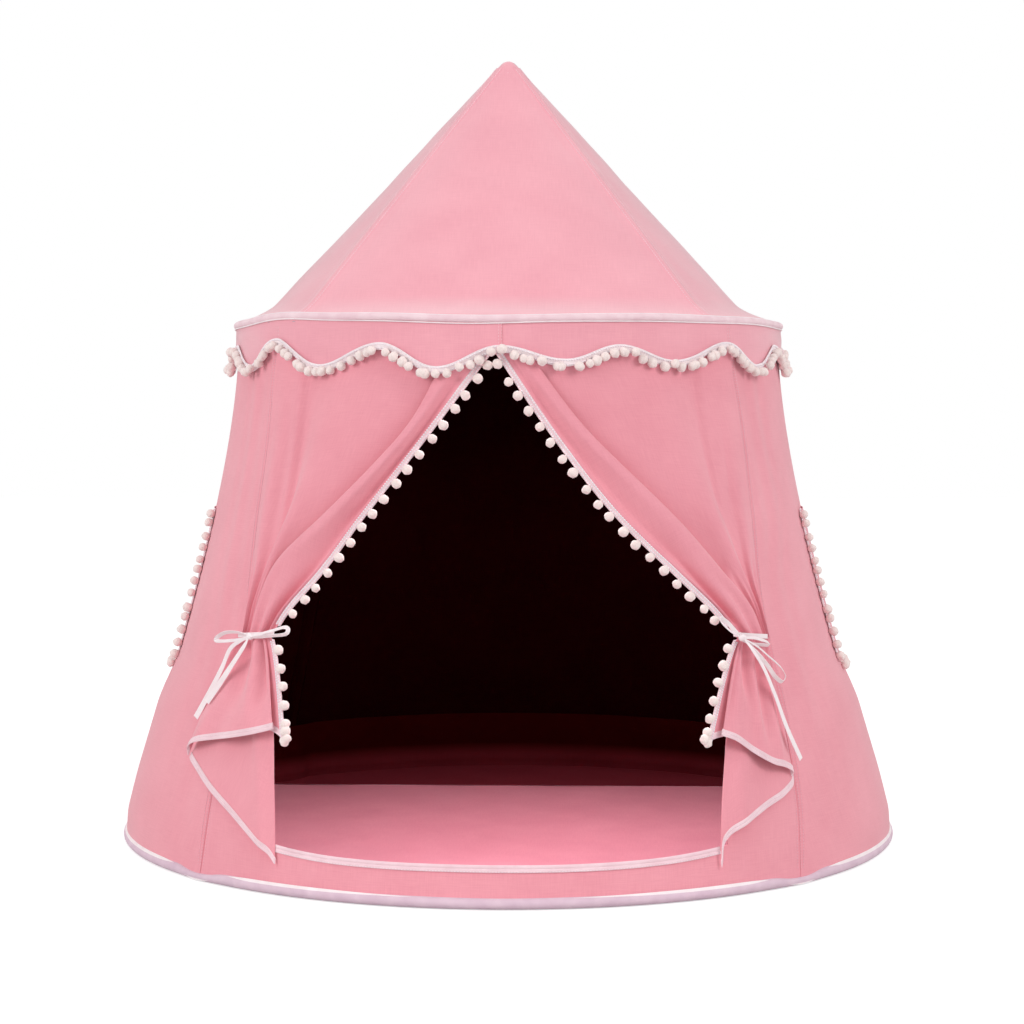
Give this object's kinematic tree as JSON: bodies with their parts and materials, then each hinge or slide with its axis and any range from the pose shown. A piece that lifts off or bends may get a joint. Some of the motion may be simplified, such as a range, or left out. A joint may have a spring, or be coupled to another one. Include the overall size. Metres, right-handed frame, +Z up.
{
  "type": "castle play tent",
  "caption": "Round cloth play tent with a pointed roof, scalloped valance, tied-back door curtains and side window flaps, on flexible poles and hoops.",
  "frame": {"origin": "centre of the base, on the floor", "axes": "+Z up, the door faces -Y, +X is to the right of someone facing the door"},
  "size_m": [1.2, 1.1999, 1.2084],
  "materials": {
    "pink_cloth": "plain woven polyester",
    "white_tape": "woven tape and pompoms",
    "netting": "open knitted mesh",
    "eave_piping": "folded polyester binding",
    "base_piping": "folded polyester binding",
    "sprung_steel": "bright drawn wire",
    "glass_fibre": "pultruded rod",
    "moulding": "injection moulded"
  },
  "bodies": {
    "tent": {"apex_cap": "pink_cloth", "apex_hub": "moulding", "base_casing": "base_piping", "base_hoop": "sprung_steel", "base_hoop_ferrule": "sprung_steel", "curtain_left": "pink_cloth", "curtain_right": "pink_cloth", "curtain_trim_left": "white_tape", "curtain_trim_right": "white_tape", "door_sill_binding": "white_tape", "door_surround": "pink_cloth", "eave_casing": "eave_piping", "eave_connector_back_left": "moulding", "eave_connector_back_right": "moulding", "eave_connector_front_left": "moulding", "eave_connector_front_right": "moulding", "eave_hoop": "sprung_steel", "eave_hoop_ferrule": "sprung_steel", "foot_cup_back_left": "moulding", "foot_cup_back_right": "moulding", "foot_cup_front_left": "moulding", "foot_cup_front_right": "moulding", "groundsheet": "pink_cloth", "pole_sleeve_back_left": "pink_cloth", "pole_sleeve_back_right": "pink_cloth", "pole_sleeve_front_left": "pink_cloth", "pole_sleeve_front_right": "pink_cloth", "roof_panel_back": "pink_cloth", "roof_panel_front": "pink_cloth", "roof_panel_left": "pink_cloth", "roof_panel_right": "pink_cloth", "roof_pole_back_left": "glass_fibre", "roof_pole_back_right": "glass_fibre", "roof_pole_front_left": "glass_fibre", "roof_pole_front_right": "glass_fibre", "tie_band_left": "white_tape", "tie_band_right": "white_tape", "valance": "pink_cloth", "valance_trim": "white_tape", "wall_panel_back": "pink_cloth", "wall_panel_left": "pink_cloth", "wall_panel_right": "pink_cloth", "wall_pole_back_left": "glass_fibre", "wall_pole_back_right": "glass_fibre", "wall_pole_front_left": "glass_fibre", "wall_pole_front_right": "glass_fibre", "window_binding_left": "white_tape", "window_binding_right": "white_tape", "window_netting_left": "netting", "window_netting_right": "netting"},
    "curtain_tail_left": {"curtain_tail_left": "pink_cloth", "tail_trim_left": "white_tape", "bow_left": "white_tape"},
    "window_flap_left": {"window_flap_left": "pink_cloth", "window_flap_trim_left": "white_tape"},
    "curtain_tail_right": {"curtain_tail_right": "pink_cloth", "tail_trim_right": "white_tape", "bow_right": "white_tape"},
    "window_flap_right": {"window_flap_right": "pink_cloth", "window_flap_trim_right": "white_tape"}
  },
  "joints": [
    {"name": "curtain_tail_left_lift", "type": "hinge", "parent": "tent", "child": "curtain_tail_left", "pos_m": [-0.34295, -0.39313, 0.336], "axis": [-0.7536, 0.6574, 0], "range_deg": [0, 40]},
    {"name": "window_flap_left_hinge", "type": "hinge", "parent": "tent", "child": "window_flap_left", "pos_m": [-0.46191, 0, 0.50638], "axis": [0, 1, 0], "range_deg": [0, 150]},
    {"name": "curtain_tail_right_lift", "type": "hinge", "parent": "tent", "child": "curtain_tail_right", "pos_m": [0.34295, -0.39313, 0.336], "axis": [-0.7536, -0.6574, 0], "range_deg": [0, 40]},
    {"name": "window_flap_right_hinge", "type": "hinge", "parent": "tent", "child": "window_flap_right", "pos_m": [0.46191, 0, 0.50638], "axis": [0, -1, 0], "range_deg": [0, 150]}
  ]
}
